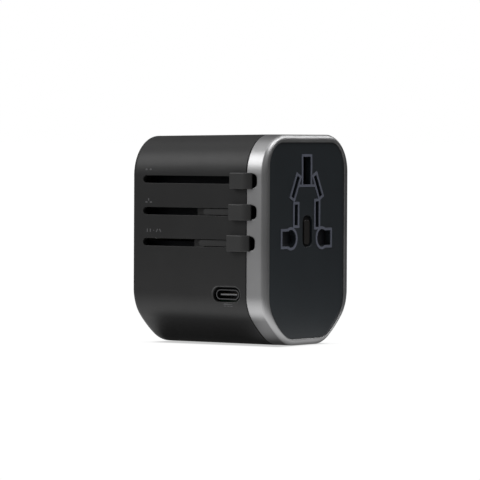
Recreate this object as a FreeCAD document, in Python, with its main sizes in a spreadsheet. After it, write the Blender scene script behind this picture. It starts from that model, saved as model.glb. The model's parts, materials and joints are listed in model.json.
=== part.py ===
import FreeCAD, Part
import math
import os
import Sketcher

V = FreeCAD.Vector

# ---------------------------------------------------------------------------
# Universal travel adapter.  Millimetres.  +Z up, socket panel faces -Y,
# plugs leave through the back (+Y), slider knobs on the -X side.
# Origin: middle of the flat underside, under the middle of the depth.
# ---------------------------------------------------------------------------

doc = FreeCAD.newDocument("travel_adapter")

CELLS = {}      # alias -> number, written to the sheet before anything is built


def cell(name, value):
    CELLS[name] = round(float(value), 5)
    return CELLS[name]


# --- driving dimensions -----------------------------------------------------
cell("half_width", 25.9)        # case half width at the bezel
cell("case_top", 69.05)         # case height
cell("y_rim", -26.5)            # front rim of the bezel
cell("y_bevel", -25.3)          # where the bezel's bevel meets its side band
cell("y_shoulder", -19.4)       # front shoulder of the housing
cell("y_back", 26.5)            # back edge of the housing
cell("wall", 2.3)
cell("draft_side", 0.8)
cell("draft_top", 0.65)
cell("back_fillet", 1.9)
cell("eu_travel", 32.7)
cell("uk_travel", 23.0)
cell("us_travel", 21.8)
C = CELLS


def profile(hw, top, bot, rt, r1, a1, r2, a2, r3):
    """Closed outline (x, z, r): r is the radius of the arc that leaves that
    point, 0 for a straight line.  Top corners are single arcs; each bottom
    corner is three tangent arcs r1, r2, r3 that turn at a1 and a2 degrees."""
    c1, s1 = math.cos(math.radians(a1)), math.sin(math.radians(a1))
    c2, s2 = math.cos(math.radians(a2)), math.sin(math.radians(a2))
    dz = (r1 - r2) * -s1 + (r2 - r3) * -s2      # centre 1 to centre 3, in z
    zc1 = bot + r3 - dz
    x1 = hw - r1
    p1 = (x1 + r1 * c1, zc1 - r1 * s1)
    x2, z2 = x1 + (r1 - r2) * c1, zc1 - (r1 - r2) * s1
    p2 = (x2 + r2 * c2, z2 - r2 * s2)
    x3 = x2 + (r2 - r3) * c2
    right = [(x3, bot, r3), (p2[0], p2[1], r2), (p1[0], p1[1], r1), (hw, zc1, 0),
             (hw, top - rt, rt), (hw - rt, top, 0)]
    left = [(-(hw - rt), top, rt), (-hw, top - rt, 0), (-hw, zc1, r1),
            (-p1[0], p1[1], r2), (-p2[0], p2[1], r3), (-x3, bot, 0)]
    return right + left


def inset(d, hw=25.9, top=69.05, bot=0.0, rt=13.0, r1=12.0, a1=45.0, r2=45.0, a2=57.6, r3=15.0):
    return profile(hw - d, top - d, bot + d, rt - d, r1 - d, a1, r2 - d, a2, r3 - d)


def rrect(cx, cz, w, h, r):
    """Rounded rectangle, counter-clockwise, in the (x, z, r) form."""
    a, b = w / 2.0, h / 2.0
    pts = []
    if h - 2 * r > 1e-6:
        pts += [(cx + a, cz - b + r, 0), (cx + a, cz + b - r, r)]
    else:
        pts += [(cx + a, cz, r)]
    if w - 2 * r > 1e-6:
        pts += [(cx + a - r, cz + b, 0), (cx - a + r, cz + b, r)]
    else:
        pts += [(cx, cz + b, r)]
    if h - 2 * r > 1e-6:
        pts += [(cx - a, cz + b - r, 0), (cx - a, cz - b + r, r)]
    else:
        pts += [(cx - a, cz, r)]
    if w - 2 * r > 1e-6:
        pts += [(cx - a + r, cz - b, 0), (cx + a - r, cz - b, r)]
    else:
        pts += [(cx, cz - b, r)]
    return pts


def poly(*pts):
    return [(p[0], p[1], 0) for p in pts]


def slant(cx, cz, w, h, deg):
    """Rectangle w by h turned by deg, counter-clockwise."""
    c, s = math.cos(math.radians(deg)), math.sin(math.radians(deg))
    out = []
    for u, v in ((w / 2, -h / 2), (w / 2, h / 2), (-w / 2, h / 2), (-w / 2, -h / 2)):
        out.append((cx + u * c - v * s, cz + u * s + v * c, 0))
    return out


# --- outlines: name -> list of (a, b, r) -------------------------------------
PATH = {}
OUT = dict(hw=25.9, top=69.05, bot=0.0, rt=13.0, r1=12.0, a1=45.0, r2=45.0, a2=57.6, r3=15.0)
# the housing outlines dip 0.04 mm under the underside, which is then cut flat
PATH["case_front"] = inset(0.0, bot=-0.04)
PATH["case_back"] = profile(25.9 - C["draft_side"], 69.05 - C["draft_top"], -0.04, 13.0, 13.2, 45.0, 46.0, 57.6, 16.2)
PATH["case_tongue"] = inset(1.12)
PATH["case_inner"] = inset(2.3)
PATH["case_lip"] = inset(3.25)
PATH["plate_edge"] = inset(3.3)
PATH["bezel_outer"] = inset(0.0)
# the bezel's front is crowned: it turns in quickly from the side band and is
# nearly flat by the time it meets the panel
BAND = (25.9, 69.05, 0.0, 13.0, 12.0, 45.0, 45.0, 57.6, 15.0)
CROWN = (24.3, 67.78, 1.03, 10.45, 11.5, 40.0, 34.0, 58.8, 12.8)
RIM = (23.0, 66.78, 1.84, 8.25, 11.2, 36.0, 25.0, 59.8, 11.0)


def between(p, q, t):
    return profile(*[a + (b - a) * t for a, b in zip(p, q)])


PATH["bezel_s1"] = between(BAND, CROWN, 0.22)
PATH["bezel_s2"] = between(BAND, CROWN, 0.56)
PATH["bezel_s3"] = between(BAND, CROWN, 0.94)
PATH["bezel_s4"] = between(CROWN, RIM, 0.38)
PATH["bezel_rim"] = profile(*RIM)
PATH["bezel_band_in"] = inset(1.1)
PATH["bezel_hole"] = profile(22.7, 66.5, 2.1, 8.0, 11.0, 35.0, 23.0, 60.0, 10.6)
PATH["panel_face"] = profile(22.62, 66.42, 2.18, 7.92, 10.92, 35.0, 22.92, 60.0, 10.52)
PATH["panel_flange"] = inset(2.4)
PATH["core_edge"] = inset(2.5)
PATH["hex_block"] = poly((16.5, 46.5), (11.0, 53.0), (-11.0, 53.0), (-16.5, 46.5), (-11.0, 40.0), (11.0, 40.0))
PATH["hex_hole"] = poly((16.75, 46.5), (11.12, 53.2), (-11.12, 53.2), (-16.75, 46.5), (-11.12, 39.8), (11.12, 39.8))
PATH["uk_frame"] = poly((-19.0, 33.9), (22.6, 33.9), (22.6, 57.0), (14.5, 57.0), (14.5, 62.9), (-4.0, 62.9),
                        (-4.0, 54.2), (17.9, 54.2), (17.9, 38.9), (-17.6, 38.9), (-17.6, 45.0), (-23.0, 45.0),
                        (-23.0, 35.4), (-19.0, 35.4))
PATH["us_plate"] = poly((-19.5, 20.1), (13.2, 20.1), (13.2, 31.9), (-19.5, 31.9), (-19.5, 34.5), (-23.4, 34.5),
                        (-23.4, 26.0), (-19.5, 26.0))
PATH["shutter_face"] = poly((7.2, 22.5), (10.8, 22.5), (10.8, 31.7), (15.6, 31.7), (15.6, 38.4), (6.9, 38.4),
                            (6.9, 47.2), (4.9, 47.2), (4.9, 31.6), (-4.9, 31.6), (-4.9, 47.2), (-6.9, 47.2),
                            (-6.9, 38.4), (-15.6, 38.4), (-15.6, 31.7), (-10.8, 31.7), (-10.8, 22.5),
                            (-7.2, 22.5), (-7.2, 28.3), (7.2, 28.3))
PATH["fuse_pill"] = rrect(0.6, 37.35, 5.3, 9.8, 1.85)
PATH["fuse_hole"] = rrect(0.6, 37.35, 5.8, 10.3, 2.1)
PATH["fuse_face"] = rrect(0.8, 37.0, 3.3, 8.0, 0.9)
PATH["usbc_shell_out"] = rrect(-11.5, 16.85, 8.94, 3.26, 1.6)
PATH["usbc_shell_in"] = rrect(-11.5, 16.85, 8.34, 2.66, 1.3)
PATH["usbc_cut"] = rrect(-11.5, 16.85, 10.5, 4.8, 2.2)
PATH["usbc_cut_in"] = rrect(-11.5, 16.85, 10.7, 5.0, 2.3)
PATH["usbc_cut_out"] = rrect(-11.5, 16.85, 11.9, 6.0, 2.8)
PATH["usbc_tab"] = rrect(-11.5, 16.85, 6.7, 0.7, 0.2)
for i, (yb, yf) in enumerate(((-14.0, -21.9), (-13.6, -21.5), (-12.9, -20.9))):
    PATH["knob_side_%s" % "abc"[i]] = [(-27.85, yb, 0), (-27.85, yf + 2.5, 3.2), (-26.35, yf, 0), (-26.0, yf, 0), (-26.0, yb, 0)]

# socket openings and the raised outlines round them (front view)
AUS = 27.5


def opening_set(grow):
    g = grow
    items = {}
    items["earth"] = poly((2.3 + g, 52.7 - g), (2.3 + g, 61.8 + g), (-2.3 - g, 61.8 + g), (-2.3 - g, 52.7 - g))
    items["us_r"] = poly((7.35 + g, 38.65 - g), (7.35 + g, 47.1 + g), (5.35 - g, 47.1 + g), (5.35 - g, 38.65 - g))
    items["us_l"] = poly((-5.35 + g, 39.35 - g), (-5.35 + g, 46.2 + g), (-7.35 - g, 46.2 + g), (-7.35 - g, 39.35 - g))
    items["aus_r"] = slant(6.75, 52.15, 1.7 + 2 * g, 7.7 + 2 * g, AUS)
    items["aus_l"] = slant(-6.75, 51.85, 1.7 + 2 * g, 7.7 + 2 * g, -AUS)
    # a round inner end (r) and a square outer end, for round and flat pins
    r = 2.95 + g
    zl, zh = 32.55 - g, 37.45 + g
    dx = math.sqrt(r * r - (35.0 - zl) ** 2)
    items["live"] = [(14.6 + g, zl, 0), (14.6 + g, zh, 0), (9.35 + dx, zh, r), (9.35 - r, 35.0, r), (9.35 + dx, zl, 0)]
    items["neutral"] = [(-14.6 - g, zh, 0), (-14.6 - g, zl, 0), (-9.35 - dx, zl, r), (-9.35 + r, 35.0, r), (-9.35 - dx, zh, 0)]
    return items


for k, pts in opening_set(0.0).items():
    PATH["open_" + k] = pts
for k, pts in opening_set(0.85).items():
    PATH["trim_" + k] = pts
for k, pts in opening_set(0.15).items():
    PATH["way_" + k] = pts
# the bar that joins the earth opening's outline to the slanted ones
PATH["trim_bar"] = poly((5.0, 51.85), (5.0, 52.7), (-4.9, 52.7), (-4.9, 51.85))

# --- boxes: name -> x0, x1, y0, y1, z0, z1 ------------------------------------
BOX = {
    # everything under the flat underside
    "under": (-30, 30, -30, 30, -2.0, 0.0),
    # slots in the case wall, one per plug
    "slot_eu_box": (-27, -22.9, -19.35, 20.6, 52.9, 55.4),
    "slot_uk_box": (-27, -22.9, -19.35, 20.6, 42.48, 44.98),
    "slot_us_box": (-27, -22.9, -19.35, 20.6, 32.25, 34.75),
    # openings in the underside for the two flat ports
    "port_a_box": (-3.05, 3.05, -14.35, -0.85, -1.0, 3.0),
    "port_b_box": (-3.05, 3.05, 0.85, 14.35, -1.0, 3.0),
    # screw bosses and board ledges inside the case
    "boss_ur": (16.2, 20.9, 10.0, 24.4, 59.3, 63.9),
    "boss_ul": (-20.9, -16.2, 10.0, 24.4, 59.3, 63.9),
    "boss_lr": (12.2, 16.8, 12.0, 24.4, 5.5, 11.4),
    "boss_ll": (-16.8, -12.2, 12.0, 24.4, 5.5, 11.4),
    "ledge_r": (19.8, 23.8, -15.0, 20.0, 12.5, 13.77),
    "ledge_l": (-23.8, -19.8, -6.5, 20.0, 12.5, 13.77),
    # bezel notches, one per knob
    "notch_eu_a": (-27, -24.0, -22.05, -19.5, 51.65, 56.25),
    "notch_eu_b": (-27, -24.0, -23.55, -22.05, 53.15, 54.75),
    "notch_uk_a": (-27, -24.0, -21.95, -19.5, 41.47, 46.07),
    "notch_uk_b": (-27, -24.0, -23.45, -21.95, 42.97, 44.57),
    "notch_us_a": (-27, -24.0, -21.35, -19.5, 31.35, 35.95),
    "notch_us_b": (-27, -24.0, -22.85, -21.35, 32.85, 34.45),
    # pockets in the case wall behind the notches
    "pocket_eu": (-25.5, -23.3, -23.2, -19.9, 52.1, 55.8),
    "pocket_uk": (-25.5, -23.3, -23.1, -19.9, 41.92, 45.62),
    "pocket_us": (-25.5, -23.3, -22.5, -19.9, 31.8, 35.5),
    # spring seats on the panel's back
    "seat_r": (7.2, 10.8, -24.0, -19.3, 8.0, 9.5),
    "seat_l": (-10.8, -7.2, -24.0, -19.3, 8.0, 9.5),
    # shutter lugs that sit on the springs
    "lug_r": (7.2, 10.8, -22.3, -19.4, 22.5, 24.0),
    "lug_l": (-10.8, -7.2, -22.3, -19.4, 22.5, 24.0),
    # socket core
    "core_box": (-21.0, 23.4, -22.2, -10.4, 24.3, 66.4),
    "core_well_r": (5.1, 16.0, -20.2, -10.3, 31.4, 38.3),
    "core_well_l": (-16.0, -5.1, -20.2, -10.3, 31.4, 38.3),
    "core_high_r": (4.6, 11.2, -20.2, -10.3, 38.2, 57.6),
    "core_high_l": (-11.2, -4.6, -20.2, -10.3, 38.2, 57.6),
    "core_earth": (-3.4, 3.4, -20.2, -10.3, 51.4, 64.3),
    "core_fuse": (-2.2, 3.54, -22.3, -9.3, 32.15, 42.5),
    "core_clip": (3.4, 4.1, -21.1, -14.9, 33.9, 38.1),
    "core_notch": (-22.0, -12.6, -12.3, -9.3, 45.0, 55.4),
    "post_a": (-20.0, -16.5, -24.0, -22.2, 56.5, 59.5),
    "post_b": (16.5, 20.0, -24.0, -22.2, 56.5, 59.5),
    "post_c": (17.5, 20.5, -24.0, -22.2, 26.0, 29.0),
    "post_d": (-20.5, -17.5, -24.0, -22.2, 26.0, 29.0),
    # contact base
    "base_box": (-21.0, 23.4, -10.4, -9.4, 24.3, 66.4),
    "base_rib": (-18.6, -18.0, -9.6, 24.4, 32.05, 33.75),
    "base_live": (8.9, 15.1, -10.5, -9.3, 32.1, 33.5),
    "base_neutral": (-15.1, -8.9, -10.5, -9.3, 32.1, 33.5),
    "base_earth": (-2.9, 2.9, -10.5, -9.3, 60.0, 64.0),
    # live and neutral contacts (leaves above and below the pin)
    "live_low": (5.6, 15.2, -20.0, -10.4, 32.2, 32.7),
    "live_high": (8.0, 15.2, -20.0, -10.4, 37.4, 37.9),
    "live_web": (15.2, 15.7, -20.0, -10.4, 32.2, 37.9),
    "live_riser": (8.0, 8.5, -20.0, -10.4, 37.4, 47.3),
    "live_link": (8.0, 10.25, -20.0, -10.4, 47.3, 47.8),
    "live_tail": (9.75, 10.25, -20.0, -10.4, 47.3, 50.2),
    "neutral_low": (-15.2, -5.6, -20.0, -10.4, 32.2, 32.7),
    "neutral_high": (-15.2, -8.0, -20.0, -10.4, 37.4, 37.9),
    "neutral_web": (-15.7, -15.2, -20.0, -10.4, 32.2, 37.9),
    "neutral_riser": (-8.5, -8.0, -20.0, -10.4, 37.4, 47.3),
    "neutral_link": (-10.25, -8.0, -20.0, -10.4, 47.3, 47.8),
    "neutral_tail": (-10.25, -9.75, -20.0, -10.4, 47.3, 50.2),
    "earth_left": (-2.9, -2.4, -20.0, -10.4, 53.0, 63.9),
    "earth_right": (2.4, 2.9, -20.0, -10.4, 53.0, 63.9),
    "earth_top": (-2.9, 2.9, -20.0, -10.4, 63.4, 63.9),
    # bus strips that run back along the plugs
    "bus_live": (9.0, 15.0, -10.4, 22.0, 32.2, 32.7),
    "bus_neutral": (-15.0, -9.0, -10.4, 22.0, 32.2, 32.7),
    "bus_earth": (-2.8, 2.8, -10.4, 22.0, 63.4, 63.9),
    # guide frame round the EU block
    "guide_top": (-16.9, 17.5, -9.4, 24.4, 53.2, 53.9),
    "guide_low": (-17.3, 17.5, -9.4, 24.4, 39.1, 39.8),
    "guide_wall": (16.8, 17.5, -9.4, 24.4, 39.1, 53.9),
    "guide_left": (-17.3, -16.6, -9.4, 24.4, 39.1, 45.0),
    "guide_up": (-16.9, -16.2, -9.4, 24.4, 49.9, 57.0),
    # EU carrier
    "eu_ear": (-17.0, -12.9, -12.0, -8.4, 45.3, 49.6),
    "eu_bracket": (-21.8, -17.0, -12.0, -10.0, 45.3, 55.0),
    "eu_rail": (-23.4, -21.4, -19.2, -11.1, 53.15, 55.0),
    "eu_strip": (-25.2, -23.4, -19.2, -15.4, 53.15, 55.15),
    "eu_stem_hole": (-25.3, -24.0, -18.2, -15.8, 53.55, 54.75),
    # UK carrier
    "uk_rail": (-23.4, -21.8, -19.0, 1.3, 42.73, 44.73),
    "uk_strip": (-25.2, -23.4, -19.0, -3.2, 42.73, 44.73),
    "uk_stem_hole": (-25.3, -24.0, -17.8, -15.4, 43.13, 44.33),
    "uk_earth_hole": (-1.9875, 1.9875, -1.7, 1.4, 54.725, 62.675),
    "uk_live_hole": (7.925, 14.275, -1.7, 1.4, 34.5125, 38.4875),
    "uk_neutral_hole": (-14.275, -7.925, -1.7, 1.4, 34.5125, 38.4875),
    "uk_earth_bar": (-1.9875, 1.9875, -1.7, 26.2, 54.725, 62.675),
    "uk_live_root": (7.925, 14.275, -1.7, 1.3, 34.5125, 38.4875),
    "uk_live_neck": (8.325, 13.875, 1.3, 12.6, 34.9125, 38.0875),
    "uk_live_tip": (7.925, 14.275, 12.6, 21.1, 34.5125, 38.4875),
    "uk_neutral_root": (-14.275, -7.925, -1.7, 1.3, 34.5125, 38.4875),
    "uk_neutral_neck": (-13.875, -8.325, 1.3, 12.6, 34.9125, 38.0875),
    "uk_neutral_tip": (-14.275, -7.925, 12.6, 21.1, 34.5125, 38.4875),
    "uk_sleeve_r_out": (7.925, 14.275, 1.3, 12.6, 34.5125, 38.4875),
    "uk_sleeve_r_in": (8.325, 13.875, 1.2, 12.7, 34.9125, 38.0875),
    "uk_sleeve_l_out": (-14.275, -7.925, 1.3, 12.6, 34.5125, 38.4875),
    "uk_sleeve_l_in": (-13.875, -8.325, 1.2, 12.7, 34.9125, 38.0875),
    # US / AU carrier
    "us_rail": (-23.4, -21.8, -18.4, 2.5, 32.5, 34.5),
    "us_strip": (-25.2, -23.4, -18.4, -1.5, 32.5, 34.5),
    "us_stem_hole": (-25.3, -24.0, -17.0, -14.6, 32.9, 34.1),
    "us_blade_r": (5.6, 7.1, -2.2, 22.1, 21.825, 28.175),
    "us_blade_l": (-7.1, -5.6, -2.2, 22.1, 21.825, 28.175),
    "us_slit_r": (5.6, 7.1, -2.3, 4.7, 21.825, 28.175),
    "us_slit_l": (-7.1, -5.6, -2.3, 4.7, 21.825, 28.175),
    # plug openings in the back plate
    "hole_earth": (-2.2, 2.2, 24.3, 26.5, 54.5, 62.9),
    "hole_live": (7.7, 14.5, 24.3, 26.5, 34.3, 38.7),
    "hole_neutral": (-14.5, -7.7, 24.3, 26.5, 34.3, 38.7),
    # fuse carrier: the part of its length that is open above the fuse
    "fuse_open": (-3.0, 5.0, -23.8, -3.8, 36.4, 43.0),
    "fuse_clip_strap": (3.7, 4.2, -9.4, -3.0, 33.5, 37.6),
    "fuse_clip_end": (-1.4, 4.2, -3.6, -3.0, 33.5, 38.7),
    "fuse_clip_side": (3.55, 4.0, -21.0, -15.0, 34.0, 38.0),
    "fuse_clip_foot": (3.55, 4.0, -15.0, -10.4, 35.0, 37.0),
    "core_clip_foot": (3.4, 4.1, -15.0, -10.3, 34.9, 37.1),
    # charging electronics
    "board": (-20.5, 20.5, -18.5, 22.0, 13.77, 14.97),
    "chip": (-5.0, 5.0, -2.0, 8.0, 14.97, 16.1),
    "chip_small": (8.0, 12.0, -6.0, -2.0, 14.97, 16.0),
    "coil_block": (5.4, 14.6, -8.0, 6.0, 5.9, 12.2),
    "coil_core": (4.2, 15.4, -10.0, 8.0, 7.3, 10.8),
    "coil_feet": (4.6, 15.0, -7.0, 5.0, 12.2, 13.77),
    "port1_out": (-2.85, 2.85, -14.15, -1.05, 0.8, 13.77),
    "port1_in": (-2.5, 2.5, -13.8, -1.4, 0.7, 13.0),
    "port2_out": (-2.85, 2.85, 1.05, 14.15, 0.8, 13.77),
    "port2_in": (-2.5, 2.5, 1.4, 13.8, 0.7, 13.0),
    "port1_tab": (0.2, 2.1, -13.1, -2.1, 1.8, 13.0),
    "port2_tab": (0.2, 2.1, 2.1, 13.1, 1.8, 13.0),
    "barrier": (-22.0, 22.0, -18.9, 24.4, 18.6, 19.4),
    "barrier_usbc": (-24.0, -17.0, -17.0, -7.0, 18.5, 18.9),
}
for k, (rng) in {"a": ("eu", 53.95, -15.8, -18.2), "b": ("uk", 43.77, -15.4, -17.8), "c": ("us", 33.65, -14.6, -17.0)}.items():
    zc = {"a": 54.15, "b": 43.73, "c": 33.5}[k]
    BOX["knob_stem_" + k] = (-26.0, -24.0, rng[3], rng[2], zc - 0.6, zc + 0.6)

# --- cylinders: name -> axis, centre a, centre b, from, to, radius -------------
# axis y: (x, z) centre, from/to in y;  axis x: (y, z) centre, from/to in x
CYL = {
    "slot_eu_end": ("x", 20.6, 54.15, -27, -22.9, 1.25),
    "slot_uk_end": ("x", 20.6, 43.73, -27, -22.9, 1.25),
    "slot_us_end": ("x", 20.6, 33.5, -27, -22.9, 1.25),
    "eu_strip_end": ("x", -15.4, 54.15, -25.2, -23.4, 1.0),
    "uk_strip_end": ("x", -3.2, 43.73, -25.2, -23.4, 1.0),
    "us_strip_end": ("x", -1.5, 33.5, -25.2, -23.4, 1.0),
    "notch_eu_c": ("x", -22.05, 53.15, -27, -24.0, 1.5),
    "notch_eu_d": ("x", -22.05, 54.75, -27, -24.0, 1.5),
    "notch_uk_c": ("x", -21.95, 42.97, -27, -24.0, 1.5),
    "notch_uk_d": ("x", -21.95, 44.57, -27, -24.0, 1.5),
    "notch_us_c": ("x", -21.35, 32.85, -27, -24.0, 1.5),
    "notch_us_d": ("x", -21.35, 34.45, -27, -24.0, 1.5),
    "pilot_ur": ("y", 18.2, 61.3, 11.0, 24.5, 0.9),
    "pilot_ul": ("y", -18.2, 61.3, 11.0, 24.5, 0.9),
    "pilot_lr": ("y", 14.5, 9.3, 13.0, 24.5, 0.9),
    "pilot_ll": ("y", -14.5, 9.3, 13.0, 24.5, 0.9),
    "eu_bore_r": ("y", 9.5, 46.5, -4.0, 7.4, 1.7),
    "eu_bore_l": ("y", -9.5, 46.5, -4.0, 7.4, 1.7),
    "eu_root_r": ("y", 9.5, 46.5, -4.0, 7.3, 1.7),
    "eu_root_l": ("y", -9.5, 46.5, -4.0, 7.3, 1.7),
    "eu_neck_r": ("y", 9.5, 46.5, 7.3, 17.3, 1.4),
    "eu_neck_l": ("y", -9.5, 46.5, 7.3, 17.3, 1.4),
    "eu_tip_r": ("y", 9.5, 46.5, 17.3, 26.3, 2.0),
    "eu_tip_l": ("y", -9.5, 46.5, 17.3, 26.3, 2.0),
    "eu_sleeve_r_out": ("y", 9.5, 46.5, 7.3, 17.3, 1.75),
    "eu_sleeve_r_in": ("y", 9.5, 46.5, 7.2, 17.4, 1.4),
    "eu_sleeve_l_out": ("y", -9.5, 46.5, 7.3, 17.3, 1.75),
    "eu_sleeve_l_in": ("y", -9.5, 46.5, 7.2, 17.4, 1.4),
    "us_bore_r": ("y", 6.35, 26.0, -1.5, 2.6, 4.95),
    "us_bore_l": ("y", -6.35, 26.0, -1.5, 2.6, 4.95),
    "turret_r_disc": ("y", 6.35, 26.0, 2.6, 4.6, 5.5),
    "turret_r_neck": ("y", 6.35, 26.0, -1.5, 2.6, 4.9),
    "turret_r_ring": ("y", 6.35, 26.0, -2.2, -1.5, 5.35),
    "turret_l_disc": ("y", -6.35, 26.0, 2.6, 4.6, 5.5),
    "turret_l_neck": ("y", -6.35, 26.0, -1.5, 2.6, 4.9),
    "turret_l_ring": ("y", -6.35, 26.0, -2.2, -1.5, 5.35),
    "hole_turret_r": ("y", 6.35, 26.0, 24.3, 26.5, 5.6),
    "hole_turret_l": ("y", -6.35, 26.0, 24.3, 26.5, 5.6),
    "fuse_seat": ("y", 0.6, 36.4, -23.8, -3.8, 2.5),
    "fuse_glass": ("y", 0.6, 36.4, -23.8, -3.9, 2.2),
    "fuse_cap_a_out": ("y", 0.6, 36.4, -23.8, -18.3, 2.45),
    "fuse_cap_a_in": ("y", 0.6, 36.4, -23.9, -18.2, 2.2),
    "fuse_cap_b_out": ("y", 0.6, 36.4, -9.4, -3.9, 2.45),
    "fuse_cap_b_in": ("y", 0.6, 36.4, -9.5, -3.8, 2.2),
    "cap_one": ("y", -9.5, 9.6, -15.0, -3.0, 3.9),
    "cap_two": ("y", -9.5, 9.6, -1.0, 11.0, 3.9),
}
SCREW = {"ur": (18.2, 61.3, 12.0), "ul": (-18.2, 61.3, 12.0), "lr": (14.5, 9.3, 14.0), "ll": (-14.5, 9.3, 14.0)}
for k, (sx, sz, sy) in SCREW.items():
    CYL["screw_%s_shank" % k] = ("y", sx, sz, sy, 25.2, 0.9)
    CYL["screw_%s_head" % k] = ("y", sx, sz, 25.2, 26.3, 1.9)
    CYL["screw_%s_sink" % k] = ("y", sx, sz, 25.2, 26.5, 1.95)
    CYL["screw_%s_pass" % k] = ("y", sx, sz, 24.3, 25.3, 1.0)
    BOX["screw_%s_cross" % k] = (sx - 0.2, sx + 0.2, 25.9, 26.4, sz - 1.1, sz + 1.1)
    BOX["screw_%s_bar" % k] = (sx - 1.1, sx + 1.1, 25.9, 26.4, sz - 0.2, sz + 0.2)

# prisms: name -> (plane, outer outline, holes, low, high) along the normal axis
PRISM = {
    "case_skirt": ("xz", "case_tongue", [], -24.85, -19.0),
    "case_hollow": ("xz", "case_inner", [], -24.95, 24.4),
    "case_mouth": ("xz", "case_lip", [], 24.3, 26.6),
    "back_blank": ("xz", "plate_edge", ["hex_hole"], 24.4, 26.4),
    "bezel_band": ("xz", "bezel_outer", [], -25.3, -19.7),
    "bezel_well": ("xz", "bezel_band_in", [], -24.95, -19.6),
    "bezel_bore": ("xz", "bezel_hole", [], -26.6, -24.9),
    "panel_plate": ("xz", "panel_face", ["open_earth", "open_us_r", "open_us_l", "open_aus_r", "open_aus_l",
                                         "open_live", "open_neutral", "fuse_hole"], -26.0, -24.95),
    "panel_ring": ("xz", "panel_flange", ["open_earth", "open_us_r", "open_us_l", "open_aus_r", "open_aus_l",
                                          "open_live", "open_neutral", "fuse_hole"], -24.95, -24.0),
    "core_limit": ("xz", "core_edge", [], -22.3, -9.3),
    "shutter_plate": ("xz", "shutter_face", [], -23.9, -22.3),
    "eu_block": ("xz", "hex_block", [], -8.4, 7.3),
    "uk_plate": ("xz", "uk_frame", [], -2.7, 1.3),
    "us_block": ("xz", "us_plate", [], -1.4, 2.5),
    "fuse_body": ("xz", "fuse_pill", [], -25.3, -3.9),
    "fuse_recess": ("xz", "fuse_face", [], -25.7, -25.0),
    "fuse_knob": ("xz", "fuse_face", [], -25.75, -25.0),
    "usbc_tube": ("yz", "usbc_shell_out", [], -24.6, -17.4),
    "usbc_void": ("yz", "usbc_shell_in", [], -24.7, -18.2),
    "usbc_blade": ("yz", "usbc_tab", [], -23.7, -18.2),
    "usbc_hole": ("yz", "usbc_cut", [], -25.4, -22.9),
    "knob_head_a": ("xy", "knob_side_a", [], 51.3, 56.6),
    "knob_head_b": ("xy", "knob_side_b", [], 41.12, 46.42),
    "knob_head_c": ("xy", "knob_side_c", [], 31.0, 36.3),
}
for k in ("earth", "us_r", "us_l", "aus_r", "aus_l", "live", "neutral"):
    PRISM["rise_" + k] = ("xz", "trim_" + k, [], -26.18, -26.0)
    PRISM["gap_" + k] = ("xz", "open_" + k, [], -26.3, -25.9)
    PRISM["bore_" + k] = ("xz", "way_" + k, [], -22.3, -20.1)
    PRISM["thru_" + k] = ("xz", "way_" + k, [], -10.5, -9.3)

PRISM["rise_bar"] = ("xz", "trim_bar", [], -26.18, -26.0)

for n, pts in PATH.items():
    for i, (a, b, r) in enumerate(pts):
        cell("%s_a%d" % (n, i), a)
        cell("%s_b%d" % (n, i), b)
        if r:
            cell("%s_rad%d" % (n, i), r)
for n, q in BOX.items():
    for key, v in zip(("x_lo", "x_hi", "y_lo", "y_hi", "z_lo", "z_hi"), q):
        cell("%s_%s" % (n, key), v)
for n, q in CYL.items():
    for key, v in zip(("ca", "cb", "lo", "hi", "rad"), q[1:]):
        cell("%s_%s" % (n, key), v)
for n, q in PRISM.items():
    cell(n + "_lo", q[3])
    cell(n + "_hi", q[4])

sheet = doc.addObject("Spreadsheet::Sheet", "dims")
for i, (n, v) in enumerate(CELLS.items(), start=1):
    sheet.set("A%d" % i, n)
    sheet.set("B%d" % i, repr(v))
    sheet.setAlias("B%d" % i, n)
doc.recompute()


# --- builders ------------------------------------------------------------------
def box(name):
    o = doc.addObject("Part::Box", name)
    for prop, ax in (("Length", "x"), ("Width", "y"), ("Height", "z")):
        o.setExpression(prop, "dims.%s_%s_hi - dims.%s_%s_lo" % (name, ax, name, ax))
        o.setExpression("Placement.Base." + ax, "dims.%s_%s_lo" % (name, ax))
    return o


def cyl(name):
    ax = CYL[name][0]
    o = doc.addObject("Part::Cylinder", name)
    if ax == "y":
        o.Placement = FreeCAD.Placement(V(), FreeCAD.Rotation(V(1, 0, 0), -90))
        o.setExpression("Placement.Base.x", "dims.%s_ca" % name)
        o.setExpression("Placement.Base.y", "dims.%s_lo" % name)
    else:
        o.Placement = FreeCAD.Placement(V(), FreeCAD.Rotation(V(0, 1, 0), 90))
        o.setExpression("Placement.Base.y", "dims.%s_ca" % name)
        o.setExpression("Placement.Base.x", "dims.%s_lo" % name)
    o.setExpression("Placement.Base.z", "dims.%s_cb" % name)
    o.setExpression("Radius", "dims.%s_rad" % name)
    o.setExpression("Height", "dims.%s_hi - dims.%s_lo" % (name, name))
    return o


def arc_centre(p, q, r):
    """Centre of the short arc from p to q that turns left (counter-clockwise)."""
    mx, my = (p[0] + q[0]) / 2, (p[1] + q[1]) / 2
    dx, dy = q[0] - p[0], q[1] - p[1]
    d = math.hypot(dx, dy)
    k = math.sqrt(max(r * r - d * d / 4, 0.0))
    return mx - dy / d * k, my + dx / d * k


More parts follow.
